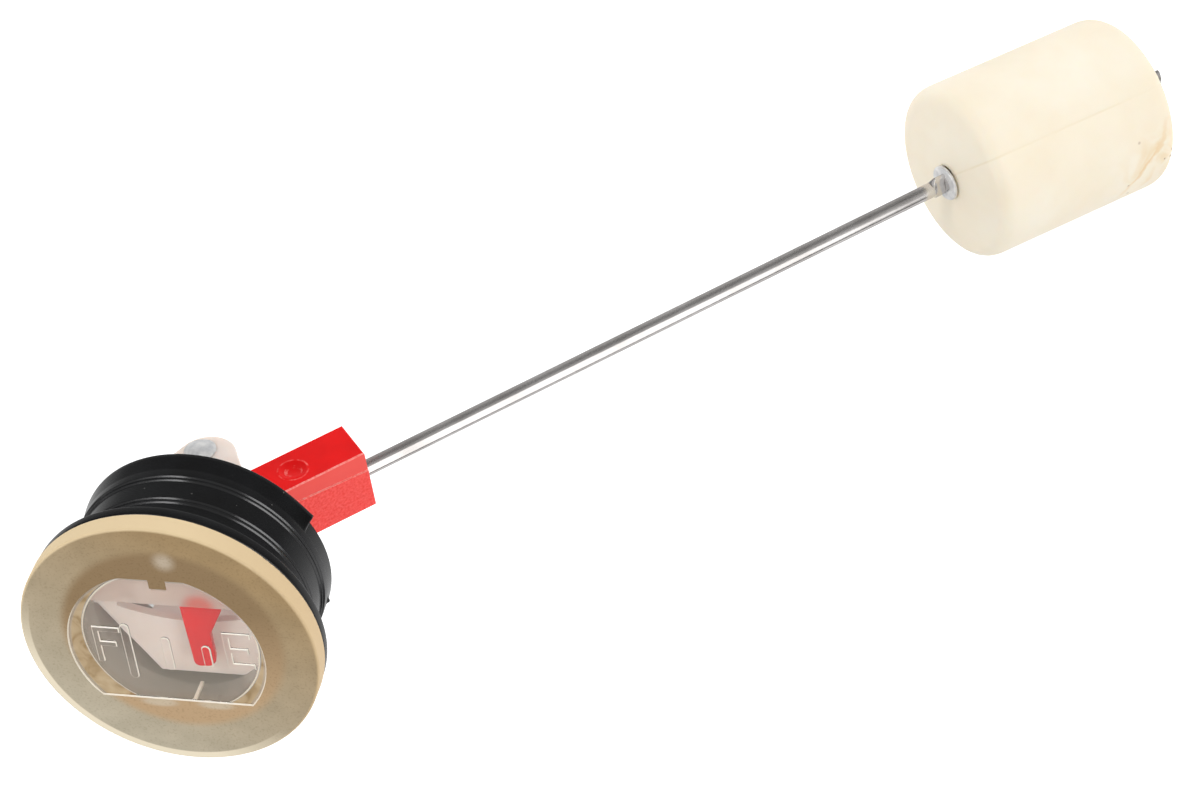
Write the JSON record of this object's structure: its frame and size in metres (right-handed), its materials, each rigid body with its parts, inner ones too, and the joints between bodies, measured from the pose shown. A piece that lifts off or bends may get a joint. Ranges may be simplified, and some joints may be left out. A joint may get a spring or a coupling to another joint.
{
  "type": "fuel level indicator",
  "caption": "Direct-reading tank fuel gauge: clear flanged window with F and E, rubber bung, pivoted red pointer lever and a float on a wire arm.",
  "frame": {"origin": "centre of the tank hole on the plane where the underside of the rubber lip seats", "axes": "+Z out of the tank through the window, +X to the side where the float arm hangs, +Y to the top of the dial"},
  "size_m": [0.1776, 0.0528, 0.1902],
  "materials": {
    "yellowed_clear_plastic": "moulded, polished window and frosted flange",
    "black_rubber": "moulded, slightly shiny",
    "milky_nylon": "moulded, translucent",
    "zinc_steel": "bright zinc plating",
    "red_plastic": "moulded gloss with grained sides",
    "bright_wire": "bright drawn",
    "cream_float": "waxy, lightly stained"
  },
  "bodies": {
    "gauge_head": {"lens": "yellowed_clear_plastic", "rubber_bung": "black_rubber", "pivot_bracket": "milky_nylon", "pivot_pin": "zinc_steel"},
    "lever": {"pointer_lever": "red_plastic", "float_rod": "bright_wire", "float_washer_near": "zinc_steel", "float_washer_far": "zinc_steel"},
    "float_body": {"float": "cream_float"}
  },
  "joints": [
    {"name": "lever_pivot", "type": "hinge", "parent": "gauge_head", "child": "lever", "pos_m": [-0.003, 0, -0.0297], "axis": [0, -1, 0], "range_deg": [0, 21]},
    {"name": "float_spin", "type": "hinge", "parent": "lever", "child": "float_body", "pos_m": [0.12568, -0.0062, -0.15842], "axis": [0.6997, 0, -0.7145], "continuous": true}
  ]
}
